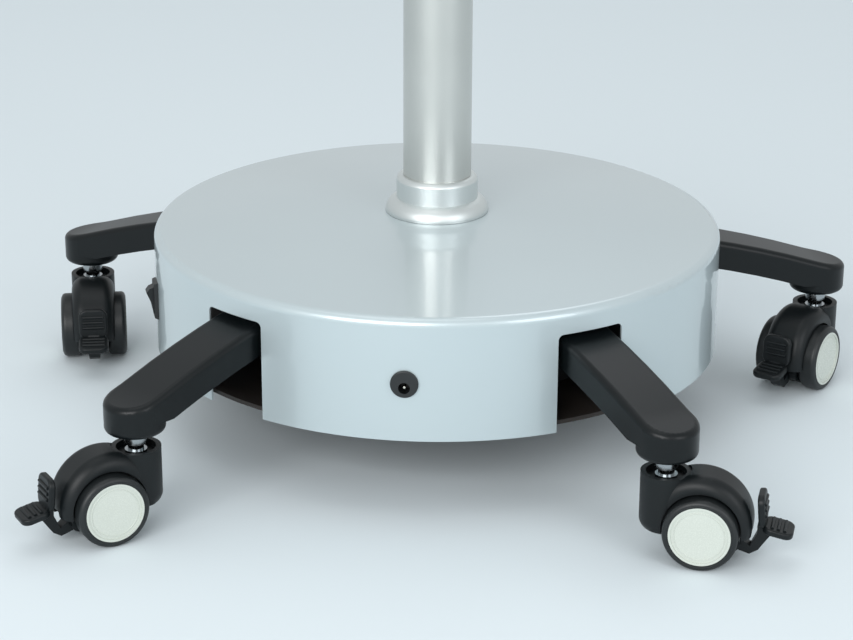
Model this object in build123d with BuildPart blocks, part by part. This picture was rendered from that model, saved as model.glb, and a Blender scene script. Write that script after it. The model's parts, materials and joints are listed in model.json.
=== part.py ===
from build123d import *
from math import asin, cos, degrees, radians, sin, sqrt
import os

# Mobile examination lamp: five-legged castor base under a round sheet-steel cover, telescopic
# column, swinging arm and tilting LED head. Millimetres. +Z is up, and the origin lies on the
# floor, on the column's axis.

os.makedirs("parts", exist_ok=True)

# ---------------------------------------------------------------- fits
running_gap = 0.06          # radial clearance of a shaft that turns or slides in a bore
fixed_gap = 0.02            # radial clearance of a shaft that is fastened in its hole
moving_gap = 0.4            # space between faces that pass each other

# ---------------------------------------------------------------- base layout
leg_count = 5
leg_pitch = 360 / leg_count
first_leg_turn = 12.16      # heading of leg 1 about +Z, from +X
leg_reach = 300.8           # column axis to castor stem axis
panel_height = 98.0         # height of the charging socket and the rocker switch

# ---------------------------------------------------------------- cover
cover_radius = 209.0
cover_sheet = 1.5
skirt_bottom = 56.3
cover_rim = 143.7           # height where the domed top meets the line of the skirt
cover_crown = 10.2          # rise of the dome above the rim
cover_edge = 6.0            # outer radius of the pressed edge
window_width = 51.0
window_clearance = 5.7      # space over the leg where it passes the skirt
window_corner = 4.0
bracket_width = 16.0
bracket_depth = 17.0
bracket_height = 12.0
cover_screw_radius = 2.0
cover_screw_inset = 10.0    # screw axis inside the skirt's outer face
screw_head_radius = 4.0
screw_head_height = 2.4

# ---------------------------------------------------------------- base plate, weight, hub
base_plate_inset = 4.0      # base plate edge inside the skirt's outer face
base_plate_bottom = 60.5
base_plate_sheet = 3.0
base_screw_hole = 2.4
hub_plate_bottom = 96.0
hub_plate_top = 110.0
hub_plate_radius = 116.0
hub_boss_radius = 36.0
pole_foot = 100.0           # height of the bottom of the hub's bore
weight_radius = 145.0
weight_bore = 30.0
bolt_radius = 4.0
bolt_length = 30.0
bolt_head_radius = 6.5
bolt_head_height = 8.0
bolt_hole_gap = 0.3
bolt_pocket_gap = 1.5
weight_bolt_circle = 70.0
weight_bolt_count = 3

# ---------------------------------------------------------------- battery and charger
battery_size = (42.0, 90.0, 58.0)
battery_reach = 168.0       # column axis to the battery's middle
battery_turn = first_leg_turn + leg_pitch / 2
battery_edge = 3.0
board_size = (34.0, 80.0, 1.6)
board_reach = 168.0
board_standoff = 6.5
board_standoff_radius = 3.5
socket_turn = first_leg_turn + 3.5 * leg_pitch
switch_turn = first_leg_turn + 2.5 * leg_pitch
capacitor_radius = 5.0
capacitor_height = 13.0
chip_size = (20.0, 14.0, 7.0)

# ---------------------------------------------------------------- charging socket
socket_flange_radius = 9.6
socket_flange = 2.0
socket_body_radius = 7.0
socket_body_depth = 18.0
socket_hole_radius = 4.0
socket_hole_drop = 2.6      # the hole lies below the flange's centre
socket_hole_depth = 11.0
socket_pin_radius = 1.0
socket_pin_recess = 1.5     # pin tip below the flange face
skirt_stand_off = 0.1       # flat fittings stand this far off the skirt's crest

# ---------------------------------------------------------------- rocker switch
switch_bezel = (2.7, 15.4, 28.0)
switch_body = (22.0, 13.0, 24.6)
switch_cutout_gap = 0.3
rocker_width = 9.0
rocker_half_height = 10.2
rocker_side_gap = 0.5
rocker_end_gap = 0.9
rocker_pocket_depth = 9.0
rocker_pivot_depth = 3.0    # pivot axis below the bezel's face
rocker_pin_radius = 1.5
rocker_pin_length = 12.0

# ---------------------------------------------------------------- legs
leg_width = 41.5
leg_root_reach = 48.0       # column axis to the leg's inner end
leg_root_top = 138.5
leg_depth = 21.0            # thickness of the arched bar
leg_tip_top = 95.8          # height of the arched top over the stem axis
leg_nose_radius = 150.0     # radius of the hollow curve that levels the top over the boss
leg_nose_run = 10.0         # the hollow curve starts this far inside the stem axis
leg_edge = 4.4
leg_foot_length = 66.0      # pad under the root that stands on the hub plate
leg_boss_bottom = 70.6
leg_boss_edge = 4.0
leg_bolt_reaches = (64.0, 98.0)
leg_bolt_seat = 130.0
leg_stem_hole_top = 89.0

# ---------------------------------------------------------------- castors
castor_headings = (237.0, 118.0, 276.9, 209.2, -12.6)
wheel_radius = 25.0
wheel_trail = 26.0
wheel_width = 14.2
wheel_gap = 0.5             # wheel's inner face off the housing's web
tread_edge = 3.2
web_half_width = 10.2       # web between the wheels
web_radius = 23.6
web_floor = 7.0             # lowest level of the web
hood_half_width = 16.6
hood_radius = 34.5
hood_centre = (24.0, 27.5)
hood_shoulder = 9.0         # rounding of the hood's outer edges
hood_floor = 21.0           # level where the hood ends behind the wheels
hood_tyre_gap = 1.4
post_radius = 17.0
post_top = 59.2
post_foot_height = 17.4
post_foot_edge = 9.0
collar_radius = 13.5
collar_floor = 55.0
stem_radius = 5.5
stem_bottom = 33.0
stem_washer = 2.0           # rise and overhang of the shoulder that carries the load
stem_sleeve_radius = 7.6
stem_sleeve_bottom = 62.0
axle_radius = 3.0
axle_half_length = 22.0
cap_radius = 20.5
cap_thickness = 2.6
cap_rim = 1.6
cap_dish = 0.7
pedal_pivot = (46.0, 15.5)
pedal_pin_radius = 2.2
pedal_pin_half_length = 7.4
pedal_hub_radius = 5.2
pedal_arm_half_width = 4.2
pedal_fork = (65.2, 27.5)   # where the two paddles meet the arm
upright_tip = (63.2, 50.6)
upright_half_width = 11.0
press_tip = (85.0, 23.6)
press_half_width = 11.5
paddle_thickness = 4.6
paddle_corner = 6.0
paddle_edge = 1.5
pedal_slot_gap = 0.5
rib_count = 3
rib_pitch = 4.2
rib_radius = 1.2

# ---------------------------------------------------------------- column
pole_radius = 25.0
tube_wall = 2.0
pole_top = 980.0
collar_flange_radius = 38.0
collar_flange_edge = 1.8
collar_ovolo_height = 10.4
collar_neck_radius = 30.0
collar_neck_height = 24.0
collar_lip_radius = 26.4
collar_height = 27.4
tube_step = 5.0             # the inner tube's radius is this much smaller than the pole's
inner_tube_bottom = 690.0
inner_tube_top = 1500.0
guide_bush_height = 34.0
clamp_radius = 33.0
clamp_overlap = 34.0        # length of clamp that grips the outer tube
clamp_height = 74.0
clamp_edge = 4.0
clamp_boss_radius = 10.0
clamp_boss_reach = 46.0
clamp_tongue = 3.2          # wall that the knob's stem presses against the inner tube
knob_stem_radius = 4.0
knob_radius = 19.0
knob_lobe_radius = 6.5
knob_lobes = 6
knob_thickness = 15.0
knob_gap = 3.0              # knob's back face off the clamp's boss

# ---------------------------------------------------------------- arm
knuckle_radius = 28.0
knuckle_grip = 34.0         # depth of the knuckle's socket over the inner tube
knuckle_cap = 14.0
knuckle_edge = 3.0
ear_thickness = 8.0
ear_radius = 18.0
arm_axis_height = 1574.0
arm_length = 600.0
arm_width = 24.0
arm_depth = 32.0
arm_edge = 5.0
arm_ear_gap = 0.6
arm_pin_radius = 6.0
arm_end_radius = 20.0
arm_end_height = 38.0

# ---------------------------------------------------------------- yoke and head
spindle_radius = 8.0
spindle_cap_radius = 15.0
spindle_cap = 7.0
yoke_neck_radius = 16.0
yoke_clearance = 13.0       # yoke's inner face off the head's rim
yoke_section = (13.0, 20.0)  # radial thickness and width of the bow
yoke_edge = 3.0
yoke_neck = 21.0            # top of the yoke's bow to the arm's axis
head_radius = 125.0
head_dome = 27.0            # height of the domed back above the rim band
head_dome_edge = 14.0
head_shoulder = (0.55, 0.72)  # a point of the dome, as shares of the radius and the rise
head_band = 34.0            # height of the rim band
head_band_top = 6.0         # top of the rim band above the tilt axis
head_wall = 3.0
head_ear_radius = 15.0
head_ear_rise = 10.0        # tilt ear's face off the head's rim
tilt_pin_radius = 5.0
tilt_pin_inset = 4.0        # tilt pin's end inside the head's rim
tilt_boss_radius = 13.0
lens_ledge = 6.0            # width of the ledge that the lens seats on
lens_ledge_height = 3.0
lens_thickness = 4.0
lens_recess = 1.5
led_board_inset = 17.0      # board's edge inside the head's rim
led_board_thickness = 1.6
led_board_depth = 14.0      # board's face above the lens
led_boss_radius = 5.0
led_boss_circle = 60.0
led_boss_count = 3
handle_clearance = 28.0     # handle's axis off the head's rim
handle_half_width = 46.0
handle_radius = 6.5
handle_bend = 20.0

# ---------------------------------------------------------------- worked-out values
base_plate_top = base_plate_bottom + base_plate_sheet
base_plate_radius = cover_radius - base_plate_inset
dome_radius = (cover_radius**2 + cover_crown**2) / (2 * cover_crown)
leg_run = leg_reach - leg_root_reach
leg_drop = leg_root_top - leg_tip_top
leg_arch_radius = (leg_run**2 + leg_drop**2) / (2 * leg_drop)
leg_turns = [first_leg_turn + leg_pitch * n for n in range(leg_count)]
wheel_inner_face = web_half_width + wheel_gap
wheel_outer_face = wheel_inner_face + wheel_width
pole_bore = pole_radius - tube_wall
inner_tube_radius = pole_radius - tube_step
clamp_bottom = pole_top - clamp_overlap
clamp_top = clamp_bottom + clamp_height
clamp_tongue_face = inner_tube_radius + running_gap + clamp_tongue
clamp_boss_height = clamp_top - clamp_edge - clamp_boss_radius - 4.0
knuckle_top = inner_tube_top + knuckle_cap
yoke_inner_radius = head_radius + yoke_clearance
head_axis_height = arm_axis_height - yoke_neck - yoke_section[0] - yoke_inner_radius
head_ear_reach = head_radius + head_ear_rise
tilt_pin_inner = head_radius - tilt_pin_inset
led_board_radius = head_radius - led_board_inset
handle_reach = head_radius + handle_clearance
pieces = {}


def dome_height(radius):
    """Height of the cover's outer surface at a distance from the column's axis."""
    return cover_rim + cover_crown - dome_radius + sqrt(dome_radius**2 - radius**2)


def leg_top_at(reach):
    """Height of a leg's arched top at a distance from the column's axis."""
    run = reach - leg_root_reach
    return leg_root_top - leg_arch_radius + sqrt(leg_arch_radius**2 - run**2)


def window_top():
    """Height of the top of the skirt's windows, over the legs."""
    return leg_top_at(cover_radius) + window_clearance


def radial_plane(turn, reach=0.0, height=0.0):
    """Plane facing outwards at a heading: its x runs along the tangent, its y runs up."""
    outward = Vector(cos(radians(turn)), sin(radians(turn)), 0)
    tangent = Vector(-sin(radians(turn)), cos(radians(turn)), 0)
    return Plane(origin=outward * reach + Vector(0, 0, height), x_dir=tangent, z_dir=outward)


def leg_place(turn):
    """Location that turns a piece built along +X to a heading."""
    return Location((0, 0, 0), (0, 0, turn))


def castor_place(number):
    """Location of castor `number`, from the stem axis at the origin with its trail along +X."""
    turn = radians(leg_turns[number])
    place = (leg_reach * cos(turn), leg_reach * sin(turn), 0)
    return Location(place, (0, 0, castor_headings[number]))


def keep(name, piece):
    """Label a finished piece and write it."""
    piece.label = name
    pieces[name] = piece
    export_step(piece, f"parts/{name}.step")


def copies(piece, places):
    """A piece repeated at each place, kept as separate solids."""
    return Compound(children=[place * piece for place in places])


# ---------------------------------------------------------------- base_cover
def cover_outline(inset):
    """Half-section of the cover, shrunk by `inset`, from its axis out to the open bottom."""
    rim_radius = cover_radius - inset
    edge = cover_edge - inset
    with BuildSketch(Plane.XZ) as section:
        with BuildLine():
            crown = Line((0, skirt_bottom), (0, cover_rim + cover_crown - inset))
            dome = RadiusArc(crown @ 1, (rim_radius, dome_height(rim_radius) - inset), dome_radius)
            Polyline(dome @ 1, (rim_radius, skirt_bottom), crown @ 0)
        make_face()
        rim = section.vertices().group_by(Axis.X)[-1].sort_by(Axis.Y)[-1]
        fillet(rim, edge)
    return section.sketch


with BuildPart() as base_cover:
    add(cover_outline(0.0))
    revolve(axis=Axis.Z)
    add(cover_outline(cover_sheet))
    revolve(axis=Axis.Z, mode=Mode.SUBTRACT)
    for turn in leg_turns:
        with BuildSketch(radial_plane(turn, cover_radius - 4 * cover_edge)):
            with Locations((0, window_top() / 2)):
                RectangleRounded(window_width, window_top(), window_corner)
        extrude(amount=5 * cover_edge, mode=Mode.SUBTRACT)
        with BuildSketch(Plane.XY.offset(base_plate_top + moving_gap)):
            middle = cover_radius - cover_sheet - bracket_depth / 2 + cover_sheet / 4
            with PolarLocations(middle, 1, start_angle=turn + leg_pitch / 2):
                Rectangle(bracket_depth, bracket_width)
        extrude(amount=bracket_height)
    with Locations(Plane.XY.offset(base_plate_top + moving_gap)):
        with PolarLocations(cover_radius - cover_screw_inset, leg_count,
                            start_angle=first_leg_turn + leg_pitch / 2):
            Cylinder(cover_screw_radius + fixed_gap, 2 * bracket_height - 4, mode=Mode.SUBTRACT)
    with BuildSketch(Plane.XY.offset(cover_rim)):
        Circle(pole_radius + moving_gap)
    extrude(amount=2 * cover_crown, both=True, mode=Mode.SUBTRACT)
    with BuildSketch(radial_plane(socket_turn, cover_radius, panel_height)):
        Circle(socket_body_radius + fixed_gap)
    extrude(amount=4 * cover_sheet, both=True, mode=Mode.SUBTRACT)
    with BuildSketch(radial_plane(switch_turn, cover_radius, panel_height)):
        Rectangle(switch_body[1] + 2 * switch_cutout_gap, switch_body[2] + 2 * switch_cutout_gap)
    extrude(amount=4 * cover_sheet, both=True, mode=Mode.SUBTRACT)
keep("base_cover", base_cover.part)

# ---------------------------------------------------------------- cover_screws
cover_screw_length = base_plate_sheet + moving_gap + bracket_height / 2
with BuildPart() as cover_screw:
    with BuildSketch(Plane.XY.offset(base_plate_bottom)):
        Circle(cover_screw_radius)
    extrude(amount=cover_screw_length)
    with BuildSketch(Plane.XY.offset(base_plate_bottom)):
        Circle(screw_head_radius)
    extrude(amount=-screw_head_height)
    fillet(cover_screw.edges().group_by(Axis.Z)[0], screw_head_height / 3)
with BuildPart() as screw_slot:
    with BuildSketch(Plane.XY.offset(base_plate_bottom - screw_head_height)):
        SlotOverall(2 * screw_head_radius - 2, 1.2)
        SlotOverall(2 * screw_head_radius - 2, 1.2, rotation=90)
    extrude(amount=screw_head_height / 2)
slotted_screw = cover_screw.part - screw_slot.part
screw_reach = cover_radius - cover_screw_inset
keep("cover_screws", copies(slotted_screw, [
    leg_place(turn + leg_pitch / 2) * Location((screw_reach, 0, 0)) for turn in leg_turns
]))

# ---------------------------------------------------------------- base_plate
standoff_spots = [(x * board_size[0] / 2.6, y * board_size[1] / 2.4) for x in (-1, 1) for y in (-1, 1)]
with BuildPart() as base_plate:
    with BuildSketch(Plane.XY.offset(base_plate_bottom)):
        Circle(base_plate_radius)
        with PolarLocations(cover_radius - cover_screw_inset, leg_count,
                            start_angle=first_leg_turn + leg_pitch / 2):
            Circle(base_screw_hole, mode=Mode.SUBTRACT)
    extrude(amount=base_plate_sheet)
    with BuildSketch(Plane.XY.offset(base_plate_top)):
        with Locations(leg_place(socket_turn) * Location((board_reach, 0, 0))):
            with Locations(*standoff_spots):
                Circle(board_standoff_radius)
    extrude(amount=board_standoff)
keep("base_plate", base_plate.part)

# ---------------------------------------------------------------- counterweight
weight_bolt_seat = hub_plate_top - 2.5 - bolt_length
with BuildPart() as counterweight:
    with BuildSketch(Plane.XY.offset(base_plate_top)):
        Circle(weight_radius)
        Circle(weight_bore, mode=Mode.SUBTRACT)
        with PolarLocations(weight_bolt_circle, weight_bolt_count, start_angle=first_leg_turn):
            Circle(bolt_radius + bolt_hole_gap, mode=Mode.SUBTRACT)
    extrude(amount=hub_plate_bottom - base_plate_top)
    with BuildSketch(Plane.XY.offset(base_plate_top)):
        with PolarLocations(weight_bolt_circle, weight_bolt_count, start_angle=first_leg_turn):
            Circle(bolt_head_radius + bolt_pocket_gap)
    extrude(amount=weight_bolt_seat - base_plate_top, mode=Mode.SUBTRACT)
keep("counterweight", counterweight.part)

# ---------------------------------------------------------------- leg_hub
with BuildPart() as leg_hub:
    with BuildSketch(Plane.XY.offset(hub_plate_bottom)):
        Circle(hub_plate_radius)
        for turn in leg_turns:
            for reach in leg_bolt_reaches:
                with PolarLocations(reach, 1, start_angle=turn):
                    Circle(bolt_radius + fixed_gap, mode=Mode.SUBTRACT)
    extrude(amount=hub_plate_top - hub_plate_bottom)
    with BuildSketch(Plane.XY.offset(hub_plate_bottom)):
        Circle(hub_boss_radius)
    extrude(amount=dome_height(hub_boss_radius) - cover_sheet - fixed_gap - hub_plate_bottom)
    with BuildSketch(Plane.XY.offset(pole_foot)):
        Circle(pole_radius + fixed_gap)
    extrude(amount=cover_rim, mode=Mode.SUBTRACT)
    with BuildSketch(Plane.XY.offset(hub_plate_bottom)):
        with PolarLocations(weight_bolt_circle, weight_bolt_count, start_angle=first_leg_turn):
            Circle(bolt_radius + fixed_gap)
    extrude(amount=hub_plate_top - hub_plate_bottom - 2, mode=Mode.SUBTRACT)
keep("leg_hub", leg_hub.part)

# ---------------------------------------------------------------- legs
arch_centre = (leg_root_reach, leg_root_top - leg_arch_radius)
nose_start = leg_reach - leg_nose_run
arch_angle = degrees(asin((nose_start - leg_root_reach) / leg_arch_radius))
nose_centre = (
    nose_start + leg_nose_radius * sin(radians(arch_angle)),
    leg_top_at(nose_start) + leg_nose_radius * cos(radians(arch_angle)),
)
boss_join = leg_top_at(leg_reach) - leg_depth / 2
with BuildPart() as leg_boss:
    with BuildSketch(Plane.XY.offset(leg_boss_bottom)):
        with Locations((leg_reach, 0)):
            Circle(leg_width / 2)
    extrude(amount=boss_join - leg_boss_bottom)
    fillet(leg_boss.edges().group_by(Axis.Z)[0], leg_boss_edge)

with BuildPart() as leg:
    with BuildSketch(Plane.XZ):
        with BuildLine():
            top = CenterArc(arch_centre, leg_arch_radius, 90 - arch_angle, arch_angle)
            under = CenterArc(arch_centre, leg_arch_radius - leg_depth, 90 - arch_angle, arch_angle)
            nose_top = CenterArc(nose_centre, leg_nose_radius, 270 - arch_angle, arch_angle)
            Polyline(nose_top @ 1, ((nose_top @ 1).X, (under @ 0).Y), under @ 0)
            Line(top @ 1, under @ 1)
        make_face()
        with BuildLine():
            Polyline(
                (leg_root_reach, hub_plate_top),
                (leg_root_reach + leg_foot_length, hub_plate_top),
                (leg_root_reach + leg_foot_length + leg_depth / 2, leg_root_top - leg_depth),
                (leg_root_reach, leg_root_top - leg_depth / 2),
                close=True,
            )
        make_face()
    extrude(amount=leg_width, both=True)
    with BuildSketch(Plane.XY.offset(leg_boss_bottom + leg_boss_edge)):
        with BuildLine():
            side = Line((leg_root_reach, -leg_width / 2), (leg_reach, -leg_width / 2))
            nose = CenterArc((leg_reach, 0), leg_width / 2, -90, 180)
            back = Line(nose @ 1, (leg_root_reach, leg_width / 2))
            Line(back @ 1, side @ 0)
        make_face()
    extrude(amount=leg_root_top, mode=Mode.INTERSECT)
    crest = leg.faces().filter_by(GeomType.CYLINDER).filter_by(lambda f: f.normal_at().Z > 0.8)
    fillet(crest.edges().filter_by(Axis.Y, reverse=True), leg_edge)
    add(leg_boss.part)
    with Locations((leg_reach, 0, leg_boss_bottom)):
        Cylinder(stem_radius + fixed_gap, 2 * (leg_stem_hole_top - leg_boss_bottom), mode=Mode.SUBTRACT)
    for reach in leg_bolt_reaches:
        with Locations((reach, 0, leg_bolt_seat)):
            Cylinder(bolt_head_radius + bolt_pocket_gap, leg_depth,
                     align=(Align.CENTER, Align.CENTER, Align.MIN), mode=Mode.SUBTRACT)
            Cylinder(bolt_radius + bolt_hole_gap, 3 * leg_depth, mode=Mode.SUBTRACT)
keep("legs", copies(leg.part, [leg_place(turn) for turn in leg_turns]))

# ---------------------------------------------------------------- frame_bolts
with BuildPart() as bolt:
    with BuildSketch(Plane.XY):
        Circle(bolt_radius)
    extrude(amount=-bolt_length)
    with BuildSketch(Plane.XY):
        Circle(bolt_head_radius)
        RegularPolygon(bolt_radius * 0.85, 6, mode=Mode.SUBTRACT)
    extrude(amount=bolt_head_height)
    with BuildSketch(Plane.XY):
        Circle(bolt_head_radius)
    extrude(amount=bolt_head_height / 2)
leg_bolt_places = [
    leg_place(turn) * Location((reach, 0, leg_bolt_seat)) for turn in leg_turns for reach in leg_bolt_reaches
]
weight_bolt_places = [
    leg_place(first_leg_turn + 360 / weight_bolt_count * n)
    * Location((weight_bolt_circle, 0, weight_bolt_seat), (180, 0, 0))
    for n in range(weight_bolt_count)
]
keep("frame_bolts", copies(bolt.part, leg_bolt_places + weight_bolt_places))

# ---------------------------------------------------------------- battery
with BuildPart() as battery:
    with BuildSketch(Plane.XY.offset(base_plate_top)):
        with Locations((battery_reach, 0)):
            Rectangle(battery_size[0], battery_size[1])
    extrude(amount=battery_size[2])
    fillet(battery.edges().filter_by(Axis.Z), battery_edge)
    with BuildSketch(Plane.XY.offset(base_plate_top + battery_size[2])):
        with Locations((battery_reach, 0)):
            with GridLocations(0, battery_size[1] / 2, 1, 2):
                Rectangle(6, 4)
    extrude(amount=5)
keep("battery", leg_place(battery_turn) * battery.part)

# ---------------------------------------------------------------- charger_board
with BuildPart() as charger_board:
    with BuildSketch(Plane.XY.offset(base_plate_top + board_standoff)):
        with Locations((board_reach, 0)):
            Rectangle(board_size[0], board_size[1])
    extrude(amount=board_size[2])
    with BuildSketch(Plane.XY.offset(base_plate_top + board_standoff + board_size[2])):
        with Locations((board_reach, -board_size[1] / 4)):
            Rectangle(chip_size[0], chip_size[1])
    extrude(amount=chip_size[2])
    with BuildSketch(Plane.XY.offset(base_plate_top + board_standoff + board_size[2])):
        with Locations((board_reach, board_size[1] / 8), (board_reach, board_size[1] / 3)):
            Circle(capacitor_radius)
    extrude(amount=capacitor_height)
keep("charger_board", leg_place(socket_turn) * charger_board.part)

# ---------------------------------------------------------------- power_socket, socket_pin
flange_seat = cover_radius + skirt_stand_off
socket_plane = radial_plane(socket_turn, flange_seat, panel_height)
with BuildPart() as power_socket:
    with BuildSketch(socket_plane):
        Circle(socket_flange_radius)
    extrude(amount=socket_flange)
    fillet(power_socket.edges().group_by(SortBy.DISTANCE)[-1], 0.8)
    with BuildSketch(socket_plane):
        Circle(socket_body_radius)
    extrude(amount=-socket_body_depth)
    with BuildSketch(socket_plane.offset(socket_flange)):
        with Locations((0, -socket_hole_drop)):
            Circle(socket_hole_radius)
    extrude(amount=-socket_hole_depth, mode=Mode.SUBTRACT)
keep("power_socket", power_socket.part)

with BuildPart() as socket_pin:
    with BuildSketch(socket_plane.offset(socket_flange - socket_hole_depth)):
        with Locations((0, -socket_hole_drop)):
            Circle(socket_pin_radius)
    extrude(amount=socket_hole_depth - socket_pin_recess)
    fillet(socket_pin.edges().group_by(SortBy.DISTANCE)[-1], socket_pin_radius / 2)
keep("socket_pin", socket_pin.part)

# ---------------------------------------------------------------- switch_body, switch_rocker
switch_seat = radial_plane(switch_turn, flange_seat, panel_height)
switch_face = switch_seat.offset(switch_bezel[0])
rocker_side = Plane(switch_face.origin, switch_face.z_dir, -switch_face.x_dir)
pocket_half_height = rocker_half_height + rocker_end_gap
with BuildPart() as switch_housing:
    with BuildSketch(switch_seat):
        Rectangle(switch_bezel[1], switch_bezel[2])
    extrude(amount=switch_bezel[0], taper=18)
    with BuildSketch(switch_seat):
        Rectangle(switch_body[1], switch_body[2])
    extrude(amount=-switch_body[0])
    with BuildSketch(switch_face):
        Rectangle(rocker_width + 2 * rocker_side_gap, 2 * pocket_half_height)
    extrude(amount=-rocker_pocket_depth, mode=Mode.SUBTRACT)
    with BuildSketch(rocker_side):
        with Locations((-rocker_pivot_depth, 0)):
            Circle(rocker_pin_radius + running_gap)
    extrude(amount=rocker_pin_length / 2 + 0.2, both=True, mode=Mode.SUBTRACT)
keep("switch_body", switch_housing.part)

with BuildPart() as switch_rocker:
    with BuildSketch(rocker_side):
        with BuildLine():
            Polyline(
                (-4.0, -rocker_half_height),
                (0.5, -rocker_half_height),
                (2.4, -1.0),
                (5.4, rocker_half_height - 4.2),
                (3.2, rocker_half_height - 1.3),
                (0.0, rocker_half_height),
                (-4.0, rocker_half_height),
                close=True,
            )
        make_face()
    extrude(amount=rocker_width / 2, both=True)
    with BuildSketch(rocker_side):
        with Locations((-rocker_pivot_depth, 0)):
            Circle(rocker_pin_radius)
    extrude(amount=rocker_pin_length / 2, both=True)
keep("switch_rocker", switch_rocker.part)

# ---------------------------------------------------------------- castor pieces, trail along +X
side_view = Plane.XZ
axle_spot = (wheel_trail, wheel_radius)
pedal_slot_half_width = pedal_arm_half_width + pedal_slot_gap


def side_disc(spot, radius, near, far):
    """A disc in the castor's side view, from the distance `near` to `far` off its middle."""
    with BuildPart() as disc:
        with BuildSketch(side_view.offset(-near)):
            with Locations(spot):
                Circle(radius)
        extrude(amount=near - far)
    return disc.part


with BuildPart() as castor_post:
    with BuildSketch(Plane.XY.offset(post_foot_height)):
        Circle(post_radius)
    extrude(amount=post_top - post_foot_height)
    fillet(castor_post.edges().group_by(Axis.Z)[0], post_foot_edge)

with BuildPart() as castor_housing:
    with BuildSketch(side_view):
        with Locations(hood_centre):
            Circle(hood_radius)
        with Locations((0, hood_floor)):
            Rectangle(4 * hood_radius, 4 * hood_radius, align=(Align.CENTER, Align.MIN), mode=Mode.INTERSECT)
    extrude(amount=hood_half_width, both=True)
    fillet(castor_housing.edges().filter_by(GeomType.CIRCLE), hood_shoulder)
    with BuildSketch(side_view):
        with Locations(axle_spot):
            Circle(web_radius)
        with Locations(pedal_pivot):
            Circle(pedal_hub_radius)
        with Locations((0, web_floor)):
            Rectangle(4 * hood_radius, 4 * hood_radius, align=(Align.CENTER, Align.MIN), mode=Mode.INTERSECT)
    extrude(amount=web_half_width, both=True)
    add(castor_post.part)
    with BuildSketch(Plane.XY.offset(post_top)):
        Circle(post_radius)
    extrude(amount=hood_radius, mode=Mode.SUBTRACT)
    for side in (-1, 1):
        add(side_disc(axle_spot, wheel_radius + hood_tyre_gap, side * web_half_width, side * 2 * hood_radius),
            mode=Mode.SUBTRACT)
    with BuildSketch(Plane.XY.offset(collar_floor)):
        Circle(collar_radius)
    extrude(amount=post_top - collar_floor + hood_radius, mode=Mode.SUBTRACT)
    with BuildSketch(Plane.XY.offset(stem_bottom - moving_gap)):
        Circle(stem_radius + running_gap)
    extrude(amount=post_top, mode=Mode.SUBTRACT)
    with BuildSketch(side_view):
        with Locations(axle_spot):
            Circle(axle_radius + fixed_gap)
        with Locations(pedal_pivot):
            Circle(pedal_pin_radius + running_gap)
    extrude(amount=2 * post_radius, both=True, mode=Mode.SUBTRACT)
    with BuildSketch(side_view):
        with Locations(pedal_pivot):
            Circle(pedal_hub_radius + pedal_slot_gap)
            Rectangle(hood_radius, 2 * pedal_hub_radius + 8, align=(Align.MIN, Align.CENTER))
            Rectangle(pedal_hub_radius + pedal_slot_gap, hood_radius, align=(Align.CENTER, Align.MAX))
    extrude(amount=pedal_slot_half_width, both=True, mode=Mode.SUBTRACT)

with BuildPart() as castor_axle:
    add(side_disc(axle_spot, axle_radius, -axle_half_length, axle_half_length))
    chamfer(castor_axle.edges().filter_by(GeomType.CIRCLE), 0.5)

with BuildPart() as castor_wheel:
    add(side_disc(axle_spot, wheel_radius, wheel_inner_face, wheel_outer_face))
    fillet(castor_wheel.edges().filter_by(GeomType.CIRCLE), tread_edge)
    add(side_disc(axle_spot, cap_radius + fixed_gap, wheel_outer_face - cap_thickness, wheel_outer_face + 1),
        mode=Mode.SUBTRACT)
    add(side_disc(axle_spot, axle_radius + running_gap, wheel_inner_face - 1, axle_half_length + moving_gap),
        mode=Mode.SUBTRACT)

with BuildPart() as castor_cap:
    add(side_disc(axle_spot, cap_radius, wheel_outer_face - cap_thickness, wheel_outer_face))
    add(side_disc(axle_spot, cap_radius - cap_rim, wheel_outer_face - cap_dish, wheel_outer_face + 1),
        mode=Mode.SUBTRACT)


def paddle(root, tip, half_width, rib_side):
    """A ribbed finger of the pedal, from root to tip in side view, with its ribs on one side."""
    along = Vector(tip[0] - root[0], 0, tip[1] - root[1])
    middle = Vector((root[0] + tip[0]) / 2, 0, (root[1] + tip[1]) / 2)
    face = Plane(origin=middle, x_dir=along, z_dir=along.cross(Vector(0, 1, 0)))
    rib_line = middle + face.z_dir * rib_side * paddle_thickness / 2
    with BuildPart() as finger:
        with BuildSketch(face):
            RectangleRounded(along.length, 2 * half_width, paddle_corner)
        extrude(amount=paddle_thickness / 2, both=True)
        ends = finger.faces().sort_by(lambda f: abs(f.normal_at().dot(face.z_dir)))[-2:]
        fillet(ends.edges(), paddle_edge)
        for step in range(rib_count):
            place = rib_line + face.x_dir * (along.length / 2 - paddle_corner - rib_pitch * step)
            with BuildSketch(Plane.XZ):
                with Locations((place.X, place.Z)):
                    Circle(rib_radius)
            extrude(amount=half_width - paddle_corner / 2, both=True)
    return finger.part


with BuildPart() as castor_pedal:
    with BuildSketch(side_view):
        with Locations(pedal_pivot):
            Circle(pedal_hub_radius)
        with BuildLine():
            Polyline(
                (pedal_pivot[0], pedal_pivot[1] - pedal_hub_radius),
                (57.0, 7.0),
                (62.6, 10.4),
                (70.4, 22.0),
                (pedal_fork[0] + 1.5, pedal_fork[1] + 4.5),
                (61.4, pedal_fork[1]),
                (61.6, 22.5),
                (57.2, 12.6),
                (pedal_pivot[0] + 2.0, pedal_pivot[1] + pedal_hub_radius - 0.4),
                close=True,
            )
        make_face()
    extrude(amount=pedal_arm_half_width, both=True)
    add(paddle(pedal_fork, upright_tip, upright_half_width, -1))
    add(paddle(pedal_fork, press_tip, press_half_width, 1))
    add(side_disc(pedal_pivot, pedal_pin_radius, -pedal_pin_half_length, pedal_pin_half_length))

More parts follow.
